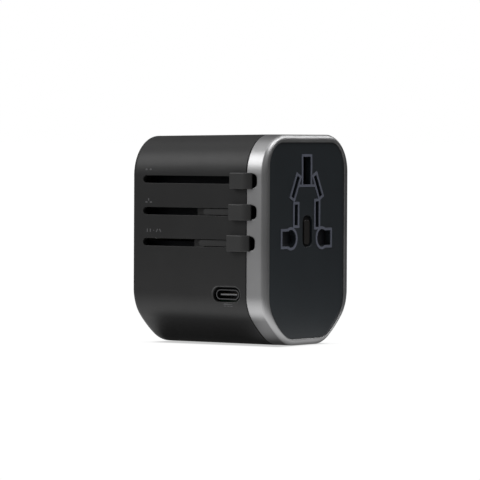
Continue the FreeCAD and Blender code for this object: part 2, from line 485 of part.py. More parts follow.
def draw(sk, name):
    """Draw PATH[name] into a sketch; every vertex and radius is a constraint
    bound to its own cell."""
    pts = PATH[name]
    n = len(pts)
    first = sk.GeometryCount
    for i in range(n):
        p, q, r = pts[i], pts[(i + 1) % n], pts[i][2]
        if r:
            cx, cy = arc_centre(p, q, r)
            a0 = math.atan2(p[1] - cy, p[0] - cx)
            a1 = math.atan2(q[1] - cy, q[0] - cx)
            if a1 < a0:
                a1 += 2 * math.pi
            sk.addGeometry(Part.ArcOfCircle(Part.Circle(V(cx, cy, 0), V(0, 0, 1), r), a0, a1), False)
        else:
            sk.addGeometry(Part.LineSegment(V(p[0], p[1], 0), V(q[0], q[1], 0)), False)
    con, binds = [], []
    base = sk.ConstraintCount
    for i in range(n):
        con.append(Sketcher.Constraint("Coincident", first + i, 2, first + (i + 1) % n, 1))
    for i in range(n):
        con.append(Sketcher.Constraint("DistanceX", -1, 1, first + i, 1, pts[i][0]))
        binds.append((base + len(con) - 1, "dims.%s_a%d" % (name, i)))
        con.append(Sketcher.Constraint("DistanceY", -1, 1, first + i, 1, pts[i][1]))
        binds.append((base + len(con) - 1, "dims.%s_b%d" % (name, i)))
        if pts[i][2]:
            con.append(Sketcher.Constraint("Radius", first + i, pts[i][2]))
            binds.append((base + len(con) - 1, "dims.%s_rad%d" % (name, i)))
    sk.addConstraint(con)
    for idx, ex in binds:
        sk.setExpression("Constraints[%d]" % idx, ex)


PLANES = {"xz": "XZ_Plane", "yz": "YZ_Plane", "xy": "XY_Plane"}


def prism(name, label=None):
    """PartDesign body: one sketch on an origin plane, one Pad."""
    plane, outer, holes, lo, hi = PRISM[name]
    body = doc.addObject("PartDesign::Body", name)
    sk = body.newObject("Sketcher::SketchObject", name + "_sketch")
    ref = [f for f in body.Origin.OriginFeatures if f.Role == PLANES[plane]][0]
    sk.AttachmentSupport = [(ref, "")]
    sk.MapMode = "FlatFace"
    # the XZ sketch looks along -Y, so its pad grows towards -Y
    if plane == "xz":
        sk.setExpression("AttachmentOffset.Base.z", "-dims.%s_hi" % name)
    else:
        sk.setExpression("AttachmentOffset.Base.z", "dims.%s_lo" % name)
    draw(sk, outer)
    for h in holes:
        draw(sk, h)
    pad = body.newObject("PartDesign::Pad", name + "_pad")
    pad.Profile = sk
    pad.setExpression("Length", "dims.%s_hi - dims.%s_lo" % (name, name))
    body.Tip = pad
    return body


def face_sketch(name, y):
    """Free sketch in a plane of constant y, for lofts."""
    sk = doc.addObject("Sketcher::SketchObject", name + "_at")
    sk.Placement = FreeCAD.Placement(V(0, y, 0), FreeCAD.Rotation(V(1, 0, 0), 90))
    draw(sk, name)
    return sk


def loft(name, sections):
    o = doc.addObject("Part::Loft", name)
    o.Sections = sections
    o.Solid = True
    o.Ruled = True
    return o


def fuse(name, items, refine=True):
    if len(items) == 1:
        return items[0]
    o = doc.addObject("Part::MultiFuse", name)
    o.Shapes = items
    o.Refine = refine
    return o


def cut(name, base, tools):
    tool = tools[0] if len(tools) == 1 else fuse(name + "_tools", tools, False)
    o = doc.addObject("Part::Cut", name)
    o.Base, o.Tool = base, tool
    return o


def common(name, a, b):
    o = doc.addObject("Part::Common", name)
    o.Base, o.Tool = a, b
    return o


def rounded(name, base, test, r, kind="Part::Fillet"):
    """Round the edges of base that test() picks."""
    doc.recompute()
    idx = [i + 1 for i, e in enumerate(base.Shape.Edges) if test(e)]
    if not idx:
        raise RuntimeError("no edge to round on " + name)
    o = doc.addObject(kind, name)
    o.Base = base
    o.Edges = [(i, r, r) for i in idx]
    return o


NODES = {}


def node(name, obj):
    obj.Label = name
    NODES[name] = obj


def ebox(e):
    return e.BoundBox


def near(a, b, tol=0.02):
    return abs(a - b) < tol


# --- housing shell -------------------------------------------------------------
case_loft = loft("case_loft", [face_sketch("case_front", C["y_shoulder"]), face_sketch("case_back", C["y_back"])])
case_round = rounded("case_round", case_loft,
                     lambda e: near(ebox(e).YMin, 26.5) and near(ebox(e).YMax, 26.5), C["back_fillet"])
case_whole = fuse("case_whole", [case_round, prism("case_skirt")])
case_solid = cut("case_solid", case_whole, [box("under")])
case_open = cut("case_open", case_solid, [prism("case_hollow"), prism("case_mouth")])
case_full = fuse("case_full", [case_open] + [box(n) for n in ("boss_ur", "boss_ul", "boss_lr", "boss_ll", "ledge_r", "ledge_l")])
sk_in = doc.addObject("Sketcher::SketchObject", "usbc_ring_in")
sk_in.Placement = FreeCAD.Placement(V(-25.35, 0, 0), FreeCAD.Rotation(V(1, 1, 1), 120))
draw(sk_in, "usbc_cut_in")
sk_out = doc.addObject("Sketcher::SketchObject", "usbc_ring_out")
sk_out.Placement = FreeCAD.Placement(V(-25.95, 0, 0), FreeCAD.Rotation(V(1, 1, 1), 120))
draw(sk_out, "usbc_cut_out")
usbc_flare = loft("usbc_flare", [sk_in, sk_out])
shell = cut("shell", case_full, [box("slot_eu_box"), cyl("slot_eu_end"), box("slot_uk_box"), cyl("slot_uk_end"),
                                 box("slot_us_box"), cyl("slot_us_end"), box("port_a_box"), box("port_b_box"),
                                 prism("usbc_hole"), usbc_flare, box("pocket_eu"), box("pocket_uk"), box("pocket_us"),
                                 cyl("pilot_ur"), cyl("pilot_ul"), cyl("pilot_lr"), cyl("pilot_ll")])
node("housing_shell", shell)

# --- bezel ----------------------------------------------------------------------
bevel = loft("bevel", [face_sketch("bezel_outer", C["y_bevel"]), face_sketch("bezel_s1", -25.75),
                       face_sketch("bezel_s2", -26.12), face_sketch("bezel_s3", -26.36),
                       face_sketch("bezel_s4", -26.46), face_sketch("bezel_rim", C["y_rim"])])
ring_solid = fuse("ring_solid", [prism("bezel_band"), bevel], False)
tools = [prism("bezel_well"), prism("bezel_bore")]
for k in ("eu", "uk", "us"):
    tools += [box("notch_%s_a" % k), box("notch_%s_b" % k), cyl("notch_%s_c" % k), cyl("notch_%s_d" % k)]
node("front_bezel", cut("bezel", ring_solid, tools))

# --- socket panel, its raised outlines, shutter ----------------------------------
panel = fuse("panel", [prism("panel_plate"), prism("panel_ring"), box("seat_r"), box("seat_l")])
node("socket_panel", panel)
OPEN = ("earth", "us_r", "us_l", "aus_r", "aus_l", "live", "neutral")
trim_up = fuse("trim_up", [prism("rise_" + k) for k in OPEN + ("bar",)])
node("socket_outline", cut("trim", trim_up, [prism("gap_" + k) for k in OPEN]))
node("safety_shutter", fuse("shutter", [prism("shutter_plate"), box("lug_r"), box("lug_l")]))

# return springs: round wire wound on a vertical axis
for side, sx in (("right", 9.0), ("left", -9.0)):
    body = doc.addObject("PartDesign::Body", "spring_" + side)
    sk = body.newObject("Sketcher::SketchObject", "spring_wire_" + side)
    ref = [f for f in body.Origin.OriginFeatures if f.Role == "XZ_Plane"][0]
    sk.AttachmentSupport = [(ref, "")]
    sk.MapMode = "FlatFace"
    sk.addGeometry(Part.Circle(V(1.2, 0.22, 0), V(0, 0, 1), 0.2), False)
    sk.addConstraint([Sketcher.Constraint("Radius", 0, 0.2),
                      Sketcher.Constraint("DistanceX", -1, 1, 0, 3, 1.2),
                      Sketcher.Constraint("DistanceY", -1, 1, 0, 3, 0.22)])
    hx = body.newObject("PartDesign::AdditiveHelix", "spring_helix_" + side)
    hx.Profile = sk
    hx.ReferenceAxis = (sk, ["V_Axis"])
    hx.Mode = 0
    hx.Pitch = 1.57
    hx.Height = 12.56
    body.Tip = hx
    body.Placement = FreeCAD.Placement(V(sx, -20.9, 9.5), FreeCAD.Rotation())
    node("shutter_spring_" + side, body)

# --- socket core, contacts, base --------------------------------------------------
core_limit = prism("core_limit")
core_block = common("core_block", box("core_box"), core_limit)
core_cut = cut("core_cut", core_block, [box(n) for n in ("core_well_r", "core_well_l", "core_high_r", "core_high_l",
                                                         "core_earth", "core_fuse", "core_clip", "core_clip_foot",
                                                         "core_notch")]
               + [prism("bore_" + k) for k in OPEN])
node("socket_core", fuse("core", [core_cut, box("post_a"), box("post_b"), box("post_c"), box("post_d")]))


def slant_leaf(name, side):
    """Contact leaf beside the slanted blade slot."""
    o = doc.addObject("Part::Box", name)
    o.Length, o.Width, o.Height = 0.5, 9.6, 7.0
    a = -math.radians(AUS) * side
    # 1.15 mm outside the slot's centre line
    u = 1.15 if side > 0 else -1.65
    c, s = math.cos(-a), math.sin(-a)
    px = 6.75 * side + u * c + 3.5 * s
    pz = (52.15 if side > 0 else 51.85) + u * s - 3.5 * c
    o.Placement = FreeCAD.Placement(V(px, -20.0, pz), FreeCAD.Rotation(V(0, 1, 0), math.degrees(a)))
    return o


node("live_contact", fuse("live", [box("live_low"), box("live_high"), box("live_web"), box("live_riser"),
                                   box("live_link"), box("live_tail"), slant_leaf("live_slant", 1)]))
node("neutral_contact", fuse("neutral", [box("neutral_low"), box("neutral_high"), box("neutral_web"),
                                         box("neutral_riser"), box("neutral_link"), box("neutral_tail"),
                                         slant_leaf("neutral_slant", -1)]))
node("earth_contact", fuse("earth", [box("earth_left"), box("earth_right"), box("earth_top")]))
base_block = common("base_block", box("base_box"), core_limit)
base_fuse = box("core_fuse")
base_notch = box("core_notch")
base_cut = cut("base_cut", base_block, [base_fuse, base_notch, box("base_live"), box("base_neutral"),
                                        box("base_earth")] + [prism("thru_" + k) for k in OPEN])
node("contact_base", fuse("base", [base_cut, box("base_rib")]))
node("live_bus", box("bus_live"))
node("neutral_bus", box("bus_neutral"))
node("earth_bus", box("bus_earth"))
node("guide_frame", fuse("guide", [box("guide_top"), box("guide_low"), box("guide_wall"), box("guide_left"), box("guide_up")]))

# --- back plate and its screws -------------------------------------------------------
plate_tools = [box("hole_earth"), box("hole_live"), box("hole_neutral"), cyl("hole_turret_r"), cyl("hole_turret_l")]
for k in SCREW:
    plate_tools += [cyl("screw_%s_sink" % k), cyl("screw_%s_pass" % k)]
node("back_plate", cut("plate", prism("back_blank"), plate_tools))
screws = []
for k in SCREW:
    one = fuse("screw_" + k, [cyl("screw_%s_shank" % k), cyl("screw_%s_head" % k)])
    screws.append(cut("screw_%s_cut" % k, one, [box("screw_%s_cross" % k), box("screw_%s_bar" % k)]))
group = doc.addObject("Part::Compound", "screws")
group.Links = screws
node("back_plate_screws", group)

# --- EU plug ---------------------------------------------------------------------------
eu = fuse("eu_body", [prism("eu_block"), box("eu_ear"), box("eu_bracket"), box("eu_rail"), box("eu_strip"), cyl("eu_strip_end")])
node("eu_carrier", cut("eu_cut", eu, [cyl("eu_bore_r"), cyl("eu_bore_l"), box("eu_stem_hole")]))
for side, word in (("r", "right"), ("l", "left")):
    tip = rounded("eu_tip_%s_round" % side, cyl("eu_tip_" + side), lambda e: near(ebox(e).YMin, 26.3), 1.2)
    node("eu_pin_" + word, fuse("eu_pin_" + side, [cyl("eu_root_" + side), cyl("eu_neck_" + side), tip]))
    node("eu_sleeve_" + word, cut("eu_sleeve_" + side, cyl("eu_sleeve_%s_out" % side), [cyl("eu_sleeve_%s_in" % side)]))

# --- UK plug ---------------------------------------------------------------------------
uk = fuse("uk_body", [prism("uk_plate"), box("uk_rail"), box("uk_strip"), cyl("uk_strip_end")])
node("uk_carrier", cut("uk_cut", uk, [box("uk_earth_hole"), box("uk_live_hole"), box("uk_neutral_hole"), box("uk_stem_hole")]))
node("uk_earth_pin", rounded("uk_earth", box("uk_earth_bar"), lambda e: near(ebox(e).YMin, 26.2), 0.9, "Part::Chamfer"))
for side, word in (("live", "live"), ("neutral", "neutral")):
    tip = rounded("uk_%s_tipr" % side, box("uk_%s_tip" % side), lambda e: near(ebox(e).YMin, 21.1), 0.9, "Part::Chamfer")
    node("uk_%s_pin" % word, fuse("uk_pin_" + side, [box("uk_%s_root" % side), box("uk_%s_neck" % side), tip]))
node("uk_live_sleeve", cut("uk_sleeve_a", box("uk_sleeve_r_out"), [box("uk_sleeve_r_in")]))
node("uk_neutral_sleeve", cut("uk_sleeve_b", box("uk_sleeve_l_out"), [box("uk_sleeve_l_in")]))

# --- US / AU plug ------------------------------------------------------------------------
us = fuse("us_body", [prism("us_block"), box("us_rail"), box("us_strip"), cyl("us_strip_end")])
node("us_carrier", cut("us_cut", us, [cyl("us_bore_r"), cyl("us_bore_l"), box("us_stem_hole")]))
for side, word in (("r", "right"), ("l", "left")):
    solid = fuse("turret_solid_" + side, [cyl("turret_%s_disc" % side), cyl("turret_%s_neck" % side), cyl("turret_%s_ring" % side)])
    node("us_turret_" + word, cut("turret_cut_" + side, solid, [box("us_slit_" + side)]))
    node("us_blade_" + word, rounded("us_blade_%s_tip" % side, box("us_blade_" + side),
                                     lambda e: near(ebox(e).YMin, 22.1), 0.45, "Part::Chamfer"))

# --- slider knobs -------------------------------------------------------------------------
for k, word in (("a", "eu"), ("b", "uk"), ("c", "us")):
    head = rounded("knob_round_" + k, prism("knob_head_" + k), lambda e: ebox(e).XMin < -26.3 and ebox(e).XMax < -25.9, 0.32)
    node(word + "_knob", fuse("knob_" + k, [head, box("knob_stem_" + k)]))

# --- fuse and its carrier --------------------------------------------------------------------
node("fuse_carrier", cut("fuse_tray", prism("fuse_body"), [box("fuse_open"), cyl("fuse_seat"), prism("fuse_recess")]))
node("fuse_cap", rounded("fuse_cap_edge", prism("fuse_knob"), lambda e: near(ebox(e).YMax, -25.75), 0.2))
node("fuse_glass", cyl("fuse_glass"))
end_a = cut("fuse_end_a", cyl("fuse_cap_a_out"), [cyl("fuse_cap_a_in")])
end_b = cut("fuse_end_b", cyl("fuse_cap_b_out"), [cyl("fuse_cap_b_in")])
ends = doc.addObject("Part::Compound", "fuse_ends")
ends.Links = [end_a, end_b]
node("fuse_end_caps", ends)
node("fuse_clip_front", fuse("clip_front", [box("fuse_clip_side"), box("fuse_clip_foot")]))
node("fuse_clip_rear", fuse("clip_rear", [box("fuse_clip_strap"), box("fuse_clip_end")]))

# --- charging electronics ---------------------------------------------------------------------
node("charger_board", box("board"))
node("charger_chips", fuse("chips", [box("chip"), box("chip_small")]))
node("charger_transformer", fuse("coil", [box("coil_block"), box("coil_core"), box("coil_feet")]))
node("charger_capacitor_1", cyl("cap_one"))
node("charger_capacitor_2", cyl("cap_two"))
node("usb_c_shell", cut("usbc", prism("usbc_tube"), [prism("usbc_void")]))
node("usb_c_tongue", prism("usbc_blade"))
for i in (1, 2):
    node("usb_a_shell_%d" % i, cut("port%d" % i, box("port%d_out" % i), [box("port%d_in" % i)]))
    node("usb_a_tongue_%d" % i, box("port%d_tab" % i))
node("insulation_plate", box("barrier"))

# --- recompute, check, write --------------------------------------------------------------------
doc.recompute()
bad = [o.Name for o in doc.Objects if "Invalid" in o.State or "Error" in o.State]
if bad:
    raise RuntimeError("failed objects: " + ", ".join(bad))
os.makedirs("parts", exist_ok=True)
for name, obj in NODES.items():
    sh = obj.Shape
    if sh.isNull() or not sh.isValid():
        raise RuntimeError("bad shape: " + name)
    if sh.Volume <= 0:
        raise RuntimeError("no volume: " + name)
# every cut has to remove material
for o in doc.Objects:
    if o.TypeId == "Part::Cut" and not o.Shape.Volume < o.Base.Shape.Volume - 1e-4:
        raise RuntimeError("cut removes nothing: " + o.Name)
for name, obj in NODES.items():
    sh = obj.Shape
    b = sh.BoundBox
    print("%-22s solids %d  vol %9.2f  x %7.2f %7.2f  y %7.2f %7.2f  z %7.2f %7.2f" % (
        name, len(sh.Solids), sh.Volume, b.XMin, b.XMax, b.YMin, b.YMax, b.ZMin, b.ZMax))
    sh.exportStep("parts/%s.step" % name)
print(len(NODES), "nodes")
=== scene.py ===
import bpy
import bmesh
import json
import math
from mathutils import Matrix, Vector


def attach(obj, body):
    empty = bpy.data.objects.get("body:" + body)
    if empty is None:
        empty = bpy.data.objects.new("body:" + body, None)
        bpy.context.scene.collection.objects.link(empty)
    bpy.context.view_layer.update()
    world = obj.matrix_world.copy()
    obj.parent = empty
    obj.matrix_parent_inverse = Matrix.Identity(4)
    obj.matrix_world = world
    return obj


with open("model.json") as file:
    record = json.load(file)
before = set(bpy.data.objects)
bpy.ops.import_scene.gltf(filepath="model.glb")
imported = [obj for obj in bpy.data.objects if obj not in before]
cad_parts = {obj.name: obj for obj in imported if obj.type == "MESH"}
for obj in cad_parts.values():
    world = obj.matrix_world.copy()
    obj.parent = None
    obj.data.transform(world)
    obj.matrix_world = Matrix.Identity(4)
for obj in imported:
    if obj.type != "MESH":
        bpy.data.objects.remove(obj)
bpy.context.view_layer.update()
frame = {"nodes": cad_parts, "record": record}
MM = 0.001

# ------------------------------------------------------------------ materials
MATS = {}


def new_mat(name):
    m = bpy.data.materials.new(name)
    m.use_nodes = True
    nt = m.node_tree
    for n in list(nt.nodes):
        nt.nodes.remove(n)
    out = nt.nodes.new("ShaderNodeOutputMaterial")
    p = nt.nodes.new("ShaderNodeBsdfPrincipled")
    nt.links.new(p.outputs["BSDF"], out.inputs["Surface"])
    MATS[name] = m
    return m, nt, p


def noise(nt, scale, detail=3.0, rough=0.55, stretch=None, rot=None):
    tc = nt.nodes.new("ShaderNodeTexCoord")
    mp = nt.nodes.new("ShaderNodeMapping")
    if stretch:
        mp.inputs["Scale"].default_value = stretch
    if rot:
        mp.inputs["Rotation"].default_value = rot
    nz = nt.nodes.new("ShaderNodeTexNoise")
    nz.inputs["Scale"].default_value = scale
    nz.inputs["Detail"].default_value = detail
    nz.inputs["Roughness"].default_value = rough
    nt.links.new(tc.outputs["Object"], mp.inputs["Vector"])
    nt.links.new(mp.outputs["Vector"], nz.inputs["Vector"])
    return nz.outputs["Fac"]


def ramp(nt, fac, stops):
    r = nt.nodes.new("ShaderNodeValToRGB")
    e = r.color_ramp.elements
    while len(e) < len(stops):
        e.new(0.5)
    for i, (pos, col) in enumerate(stops):
        e[i].position = pos
        e[i].color = (col[0], col[1], col[2], 1.0)
    nt.links.new(fac, r.inputs["Fac"])
    return r.outputs["Color"]


def remap(nt, fac, a, b):
    m = nt.nodes.new("ShaderNodeMapRange")
    m.inputs["To Min"].default_value = a
    m.inputs["To Max"].default_value = b
    nt.links.new(fac, m.inputs["Value"])
    return m.outputs["Result"]


def bump(nt, p, layers, edge=0.0):
    """layers: (height socket, strength, distance in metres).  edge rounds the
    look of sharp edges by that radius, in metres."""
    last = None
    if edge:
        bv = nt.nodes.new("ShaderNodeBevel")
        bv.samples = 6
        bv.inputs["Radius"].default_value = edge
        last = bv.outputs["Normal"]
    for h, s, d in layers:
        b = nt.nodes.new("ShaderNodeBump")
        b.inputs["Strength"].default_value = s
        b.inputs["Distance"].default_value = d
        nt.links.new(h, b.inputs["Height"])
        if last is not None:
            nt.links.new(last, b.inputs["Normal"])
        last = b.outputs["Normal"]
    nt.links.new(last, p.inputs["Normal"])


def shade(col, k):
    return tuple(c * k for c in col)


def plastic(name, col, rough=0.5, grain=2600.0, grain_s=0.18, spec=0.5, coat=0.0, var=0.10, rvar=0.06, edge=0.0):
    """Moulded plastic: fine spark-eroded grain, slow colour and gloss drift,
    and small handling marks in the gloss."""
    m, nt, p = new_mat(name)
    slow = noise(nt, 55.0, 2.0)
    nt.links.new(ramp(nt, slow, [(0.3, shade(col, 1 - var)), (0.7, shade(col, 1 + var))]), p.inputs["Base Color"])
    mid = noise(nt, 420.0, 4.0, 0.6)
    nt.links.new(remap(nt, mid, rough - rvar, rough + rvar), p.inputs["Roughness"])
    p.inputs["Specular IOR Level"].default_value = spec
    p.inputs["Coat Weight"].default_value = coat
    p.inputs["Coat Roughness"].default_value = 0.25
    fine = noise(nt, grain, 3.0, 0.6)
    bump(nt, p, [(fine, grain_s, 0.00003), (mid, 0.05, 0.0001)], edge)
    return m


def metal(name, col, rough=0.3, stretch=(1, 1, 1), scale=900.0, aniso=0.0, bump_s=0.08, rvar=0.06, var=0.08,
          edge=0.0):
    m, nt, p = new_mat(name)
    grain = noise(nt, scale, 4.0, 0.6, stretch)
    slow = noise(nt, 70.0, 2.0)
    nt.links.new(ramp(nt, slow, [(0.3, shade(col, 1 - var)), (0.7, shade(col, 1 + var))]), p.inputs["Base Color"])
    nt.links.new(remap(nt, grain, rough - rvar, rough + rvar), p.inputs["Roughness"])
    p.inputs["Metallic"].default_value = 1.0
    p.inputs["Anisotropic"].default_value = aniso
    bump(nt, p, [(grain, bump_s, 0.00002)], edge)
    return m


plastic("housing", (0.0205, 0.0205, 0.0208), 0.41, grain_s=0.10, spec=0.38, edge=0.00022)
plastic("backplate", (0.028, 0.028, 0.029), 0.52)
plastic("panel", (0.0158, 0.0205, 0.0246), 0.34, grain=3200.0, grain_s=0.06, spec=0.55, var=0.06, edge=0.00015)
plastic("outline", (0.122, 0.131, 0.168), 0.40, grain_s=0.08)
plastic("shutter", (0.006, 0.007, 0.011), 0.45)
plastic("insulator", (0.007, 0.009, 0.014), 0.55, spec=0.3)
plastic("carrier", (0.029, 0.029, 0.0292), 0.44)
plastic("sleeve", (0.018, 0.018, 0.019), 0.42)
plastic("knob", (0.036, 0.036, 0.0362), 0.42, grain_s=0.12, edge=0.00025)
plastic("fuseholder", (0.0015, 0.0015, 0.002), 0.6, spec=0.2)
plastic("fusecap", (0.012, 0.0108, 0.010), 0.45, spec=0.3, edge=0.0002)
plastic("chip", (0.012, 0.012, 0.013), 0.3)
plastic("tongue", (0.02, 0.07, 0.32), 0.4)
plastic("coil", (0.50, 0.34, 0.06), 0.4, grain=900.0, grain_s=0.3)
plastic("board", (0.012, 0.075, 0.035), 0.3, grain=700.0, grain_s=0.1, coat=0.5)
plastic("capacitor", (0.02, 0.022, 0.05), 0.3, coat=0.6)
metal("bezel", (0.43, 0.43, 0.435), 0.36, scale=3000.0, bump_s=0.10, edge=0.00045)
metal("brass", (0.72, 0.50, 0.22), 0.28, stretch=(1, 0.1, 1))
metal("pin", (0.74, 0.71, 0.66), 0.20, stretch=(1, 0.08, 1), scale=1600.0)
metal("screw", (0.40, 0.40, 0.41), 0.32)
metal("spring", (0.60, 0.61, 0.62), 0.22, stretch=(1, 1, 0.2))
metal("usbshell", (0.16, 0.16, 0.165), 0.36, stretch=(0.1, 1, 1), scale=1600.0)
metal("contact_plating", (0.78, 0.60, 0.28), 0.25, scale=1600.0)
metal("midplate", (0.30, 0.30, 0.31), 0.42, scale=1600.0)
plastic("print", (0.12, 0.12, 0.125), 0.6, grain_s=0.05)
m, nt, p = new_mat("fuseglass")
p.inputs["Base Color"].default_value = (0.9, 0.93, 0.91, 1)
nt.links.new(remap(nt, noise(nt, 300.0), 0.02, 0.09), p.inputs["Roughness"])
p.inputs["Transmission Weight"].default_value = 0.9
p.inputs["IOR"].default_value = 1.5

# painted highlight: the faces of the turned-in edge round the charging port's opening get a lighter base colour,
# standing in for the light that sloped edge catches
m, nt = MATS["housing"], MATS["housing"].node_tree
p = [n for n in nt.nodes if n.type == "BSDF_PRINCIPLED"][0]
geo = nt.nodes.new("ShaderNodeNewGeometry")
htc = nt.nodes.new("ShaderNodeTexCoord")


def hmath(kind, op, *inputs):
    n = nt.nodes.new(kind)
    n.operation = op
    for k, v in enumerate(inputs):
        if isinstance(v, (tuple, float)):
            n.inputs[k].default_value = v
        else:
            nt.links.new(v, n.inputs[k])
    return n


away = hmath("ShaderNodeVectorMath", "SUBTRACT", htc.outputs["Object"], (-0.0256, -0.0115, 0.01685))
away = hmath("ShaderNodeVectorMath", "MULTIPLY", away.outputs["Vector"], (1.0, 1.0 / 0.0060, 1.0 / 0.00303))
box_ = hmath("ShaderNodeVectorMath", "ABSOLUTE", away.outputs["Vector"])
sep = nt.nodes.new("ShaderNodeSeparateXYZ")
nt.links.new(box_.outputs["Vector"], sep.inputs["Vector"])
in_x = hmath("ShaderNodeMath", "LESS_THAN", sep.outputs["X"], 0.00045)
in_y = hmath("ShaderNodeMath", "LESS_THAN", sep.outputs["Y"], 1.0)
in_z = hmath("ShaderNodeMath", "LESS_THAN", sep.outputs["Z"], 1.0)
face = hmath("ShaderNodeVectorMath", "DOT_PRODUCT", geo.outputs["True Normal"], (-1.0, 0.0, 0.0))
# faces that slope away from the side face: where the painted highlight goes
turned = hmath("ShaderNodeMath", "LESS_THAN", face.outputs["Value"], 0.85)
on = hmath("ShaderNodeMath", "MULTIPLY", in_x.outputs[0], in_y.outputs[0])
on = hmath("ShaderNodeMath", "MULTIPLY", on.outputs[0], in_z.outputs[0])
on = hmath("ShaderNodeMath", "MULTIPLY", on.outputs[0], turned.outputs[0])
flare_highlight_mix = nt.nodes.new("ShaderNodeMix")
flare_highlight_mix.data_type = "RGBA"
cols = [i for i in flare_highlight_mix.inputs if i.type == "RGBA"]
src = p.inputs["Base Color"].links[0].from_socket
nt.links.new(on.outputs[0], flare_highlight_mix.inputs[0])
nt.links.new(src, cols[0])
# the lighter grey of the painted highlight
cols[1].default_value = (0.075, 0.075, 0.077, 1.0)
nt.links.new([o for o in flare_highlight_mix.outputs if o.type == "RGBA"][0], p.inputs["Base Color"])

SLOT_OF = {s["node"]: s["material_slot"] for s in frame["record"]["subparts"]}
for name, ob in frame["nodes"].items():
    ob.data.materials.clear()
    ob.data.materials.append(MATS[SLOT_OF[name]])

# ------------------------------------------------------------ small visual pieces
def solids(name, parts, mat):
    """One mesh from closed pieces.  A piece is (outline, axis, lo, hi): the
    outline is a counter-clockwise list in mm of the two other coordinates, and
    its edges are drawn in a little at the hi end."""
    bm = bmesh.new()
    for outline, axis, lo, hi, draw in parts:
        cu = sum(p[0] for p in outline) / len(outline)
        cv = sum(p[1] for p in outline) / len(outline)

        def ring(h, k):
            vs = []
            for u, v in outline:
                du, dv = u - cu, v - cv
                n = math.hypot(du, dv) or 1.0
                q = (cu + du * (1 - k / n), cv + dv * (1 - k / n))
                co = {"x": (h, q[0], q[1]), "y": (q[0], h, q[1]), "z": (q[0], q[1], h)}[axis]
                vs.append(bm.verts.new([c * MM for c in co]))
            return vs

        mid = lo + (hi - lo) * 0.6
        rings = [ring(lo, 0.0), ring(mid, 0.0), ring(hi, draw)]
        n = len(outline)
        for a, b in zip(rings, rings[1:]):
            for i in range(n):
                bm.faces.new((a[i], a[(i + 1) % n], b[(i + 1) % n], b[i]))
        bm.faces.new(list(reversed(rings[0])))
        bm.faces.new(rings[-1])
    bmesh.ops.recalc_face_normals(bm, faces=bm.faces[:])
    me = bpy.data.meshes.new(name)
    bm.to_mesh(me)
    bm.free()
    me.materials.append(MATS[mat])
    ob = bpy.data.objects.new(name, me)
    bpy.context.scene.collection.objects.link(ob)
    return ob


def dot(u, v, r, n=20):
    return [(u + r * math.cos(2 * math.pi * i / n), v + r * math.sin(2 * math.pi * i / n)) for i in range(n)]


def bar(u, v, w, h, deg=0.0, r=0.06):
    """Bar with rounded corners, turned by deg."""
    c, s = math.cos(math.radians(deg)), math.sin(math.radians(deg))
    out = []
    for su, sv, a0 in ((1, -1, -90), (1, 1, 0), (-1, 1, 90), (-1, -1, 180)):
        for k in range(4):
            a = math.radians(a0 + 30 * k)
            x = su * (w / 2 - r) + r * math.cos(a)
            y = sv * (h / 2 - r) + r * math.sin(a)
            out.append((u + x * c - y * s, v + x * s + y * c))
    return out


def side_x(y, z):
    """Where the outer face of the case's slider side is at (y, z), in mm."""
    hs = frame["nodes"]["housing_shell"]
    inv = hs.matrix_world.inverted()
    a = inv @ Vector((-0.040, y * MM, z * MM))
    d = (inv.to_3x3() @ Vector((1, 0, 0))).normalized()
    ok, loc, nor, idx = hs.ray_cast(a, d)
    return (hs.matrix_world @ loc).x / MM if ok else -25.9


def printed(name, shapes):
    parts = []
    for sh in shapes:
        cy = sum(p[0] for p in sh) / len(sh)
        cz = sum(p[1] for p in sh) / len(sh)
        x = side_x(cy, cz)
        parts.append((sh, "x", x + 0.03, x - 0.02, 0.01))
    ob = solids(name, parts, "print")
    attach(ob, "case")
    return ob


# plug pictograms over the back ends of the slots, and a direct-current sign
printed("label_eu", [dot(20.6, 57.3, 0.42), dot(18.9, 57.3, 0.42)])
printed("label_uk", [bar(19.6, 47.45, 0.42, 0.8), bar(20.5, 46.6, 0.85, 0.42), bar(18.7, 46.6, 0.85, 0.42)])
printed("label_us", [bar(20.1, 37.3, 0.34, 1.1), bar(18.9, 37.3, 0.34, 1.1), bar(16.2, 37.3, 0.34, 1.15, 30.0),
                     bar(14.9, 37.3, 0.34, 1.15, -30.0), dot(17.5, 37.3, 0.16, 10)])
printed("label_dc", [bar(-12.2, 13.75, 3.4, 0.24), bar(-10.95, 13.15, 0.85, 0.22), bar(-12.2, 13.15, 0.85, 0.22),
                     bar(-13.45, 13.15, 0.85, 0.22)])

# plated contacts on the charging ports' tongues
pads = []
for i in range(12):
    y = -11.5 + (i - 5.5) * 0.5
    pads.append((bar(-21.7, y, 3.2, 0.26, 0.0, 0.05), "z", 17.19, 17.23, 0.01))
    pads.append((bar(-21.7, y, 3.2, 0.26, 0.0, 0.05), "z", 16.51, 16.47, 0.01))
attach(solids("usb_c_pads", pads, "contact_plating"), "case")
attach(solids("usb_c_midplate", [(bar(-11.5, 16.85, 6.5, 0.4, 0.0, 0.12), "x", -23.6, -23.78, 0.03)], "midplate"), "case")
pads = []
for mid in (-7.6, 7.6):
    for i in range(4):
        y = mid + (i - 1.5) * 2.4
        pads.append((bar(y, 5.6, 1.1, 6.4, 0.0, 0.2), "x", 0.21, 0.13, 0.03))
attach(solids("usb_a_pads", pads, "contact_plating"), "case")

# --------------------------------------------------------------- camera, lights
scene = bpy.context.scene
scene.view_settings.view_transform = "Standard"
scene.view_settings.look = "None"

